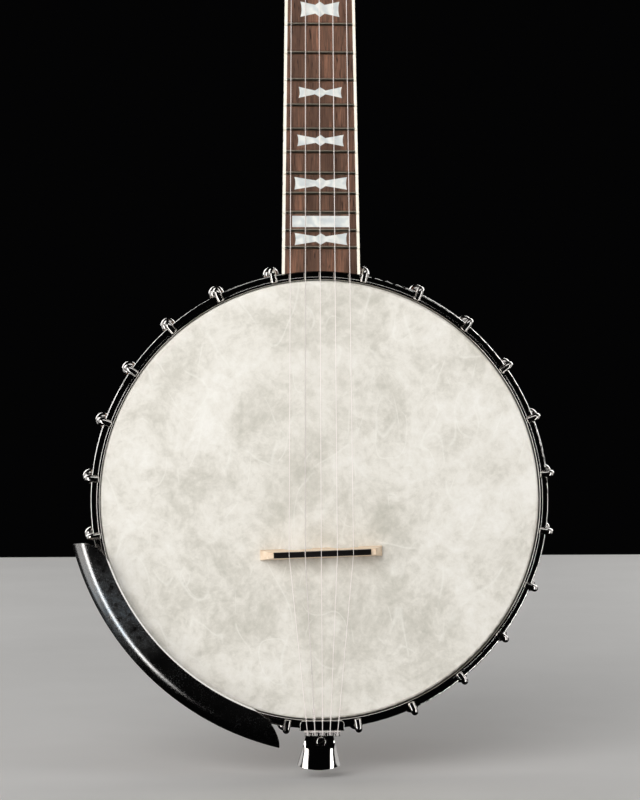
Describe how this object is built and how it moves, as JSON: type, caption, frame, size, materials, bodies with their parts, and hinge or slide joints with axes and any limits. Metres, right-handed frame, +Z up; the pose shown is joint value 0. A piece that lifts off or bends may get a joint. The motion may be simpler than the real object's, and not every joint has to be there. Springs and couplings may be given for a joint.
{
  "type": "banjo",
  "caption": "Open-back banjo with a drone string: drum head on a wooden rim under a hooked tension hoop, inlaid fretted neck, geared tuning pegs, bridge, tailpiece and armrest.",
  "frame": {"origin": "the hanging point: the middle of the peghead's throat just above the nut, where a hanger's yoke carries the instrument", "axes": "+Z up the neck, the head and strings face -Y, +X to the right as seen from the front"},
  "size_m": [0.3121, 0.1135, 0.952],
  "materials": {
    "rim_maple": "satin lacquer over laminated maple",
    "ring_brass": "turned",
    "head_film": "mottled fibre-filled film",
    "hoop_alloy": "plain rolled",
    "polished_nickel": "mirror-polished nickel plate",
    "nickel_hardware": "bright nickel plate",
    "plain_steel": "zinc-bright steel",
    "neck_wood": "satin reddish-brown lacquer",
    "dark_veneer": "satin black veneer",
    "fingerboard_wood": "open-pored, oiled",
    "ivory_binding": "polished",
    "fret_wire": "polished nickel silver",
    "pearl": "pearlescent",
    "bone": "polished bone",
    "cover_plastic": "gloss",
    "button_pearl": "pearlescent",
    "bridge_maple": "bare fine-grained maple",
    "bridge_ebony": "bare ebony",
    "string_steel": "bright wire"
  },
  "bodies": {
    "banjo": {"armrest": "polished_nickel", "armrest_brackets": "nickel_hardware", "armrest_screws": "nickel_hardware", "bracket_hooks": "nickel_hardware", "bracket_nuts": "nickel_hardware", "bracket_shoes": "nickel_hardware", "bridge_body": "bridge_maple", "bridge_cap": "bridge_ebony", "coordinator_rod_lower": "plain_steel", "coordinator_rod_upper": "plain_steel", "fifth_string_nut": "bone", "fifth_tuner_housing": "nickel_hardware", "fingerboard": "fingerboard_wood", "fingerboard_binding": "ivory_binding", "flesh_hoop": "hoop_alloy", "frets": "fret_wire", "head": "head_film", "headstock_overlay": "dark_veneer", "heel_cap": "dark_veneer", "neck": "neck_wood", "neck_lag_bolts": "plain_steel", "nut": "bone", "position_inlays": "pearl", "rim": "rim_maple", "rod_end_bolts": "plain_steel", "rod_nuts": "plain_steel", "shoe_bolts": "plain_steel", "string_1": "string_steel", "string_2": "string_steel", "string_3": "string_steel", "string_4": "string_steel", "string_5": "string_steel", "tail_bracket": "nickel_hardware", "tailpiece_body": "polished_nickel", "tailpiece_bolt": "nickel_hardware", "tension_hoop": "polished_nickel", "tone_ring": "ring_brass", "truss_cover_screws": "nickel_hardware", "truss_rod": "plain_steel", "truss_rod_cover": "cover_plastic", "tuner_1_housing": "nickel_hardware", "tuner_2_housing": "nickel_hardware", "tuner_3_housing": "nickel_hardware", "tuner_4_housing": "nickel_hardware", "tuner_nuts": "nickel_hardware"},
    "button_1": {"tuner_1_button": "button_pearl", "tuner_1_screw": "nickel_hardware"},
    "post_1": {"tuner_1_post": "nickel_hardware"},
    "button_2": {"tuner_2_button": "button_pearl", "tuner_2_screw": "nickel_hardware"},
    "post_2": {"tuner_2_post": "nickel_hardware"},
    "button_3": {"tuner_3_button": "button_pearl", "tuner_3_screw": "nickel_hardware"},
    "post_3": {"tuner_3_post": "nickel_hardware"},
    "button_4": {"tuner_4_button": "button_pearl", "tuner_4_screw": "nickel_hardware"},
    "post_4": {"tuner_4_post": "nickel_hardware"},
    "button_5": {"fifth_tuner_button": "button_pearl"},
    "post_5": {"fifth_tuner_post": "nickel_hardware"}
  },
  "joints": [
    {"name": "tuner_1_button_turn", "type": "hinge", "parent": "banjo", "child": "button_1", "pos_m": [0.027, 0.02876, 0.01752], "axis": [0, 0.9582, -0.2862], "continuous": true},
    {"name": "tuner_1_post_turn", "type": "hinge", "parent": "banjo", "child": "post_1", "pos_m": [0.027, 0.00002, 0.02611], "axis": [0, 0.9582, -0.2862], "continuous": true},
    {"name": "tuner_2_button_turn", "type": "hinge", "parent": "banjo", "child": "button_2", "pos_m": [0.024, 0.04479, 0.07118], "axis": [0, 0.9582, -0.2862], "continuous": true},
    {"name": "tuner_2_post_turn", "type": "hinge", "parent": "banjo", "child": "post_2", "pos_m": [0.024, 0.01604, 0.07977], "axis": [0, 0.9582, -0.2862], "continuous": true},
    {"name": "tuner_3_button_turn", "type": "hinge", "parent": "banjo", "child": "button_3", "pos_m": [-0.018, 0.04479, 0.07118], "axis": [0, 0.9582, -0.2862], "continuous": true},
    {"name": "tuner_3_post_turn", "type": "hinge", "parent": "banjo", "child": "post_3", "pos_m": [-0.018, 0.01604, 0.07977], "axis": [0, 0.9582, -0.2862], "continuous": true},
    {"name": "tuner_4_button_turn", "type": "hinge", "parent": "banjo", "child": "button_4", "pos_m": [-0.021, 0.02876, 0.01752], "axis": [0, 0.9582, -0.2862], "continuous": true},
    {"name": "tuner_4_post_turn", "type": "hinge", "parent": "banjo", "child": "post_4", "pos_m": [-0.021, 0.00002, 0.02611], "axis": [0, 0.9582, -0.2862], "continuous": true},
    {"name": "tuner_5_button_turn", "type": "hinge", "parent": "banjo", "child": "button_5", "pos_m": [-0.045, -0.01664, -0.17286], "axis": [-1, 0, 0], "continuous": true},
    {"name": "tuner_5_post_turn", "type": "hinge", "parent": "banjo", "child": "post_5", "pos_m": [-0.025, -0.01664, -0.17286], "axis": [-1, 0, 0], "continuous": true}
  ],
  "couplings": [
    {"joint": "tuner_1_post_turn", "follows": "tuner_1_button_turn", "ratio": 0.25},
    {"joint": "tuner_2_post_turn", "follows": "tuner_2_button_turn", "ratio": 0.25},
    {"joint": "tuner_3_post_turn", "follows": "tuner_3_button_turn", "ratio": 0.25},
    {"joint": "tuner_4_post_turn", "follows": "tuner_4_button_turn", "ratio": 0.25},
    {"joint": "tuner_5_post_turn", "follows": "tuner_5_button_turn", "ratio": 0.25}
  ]
}
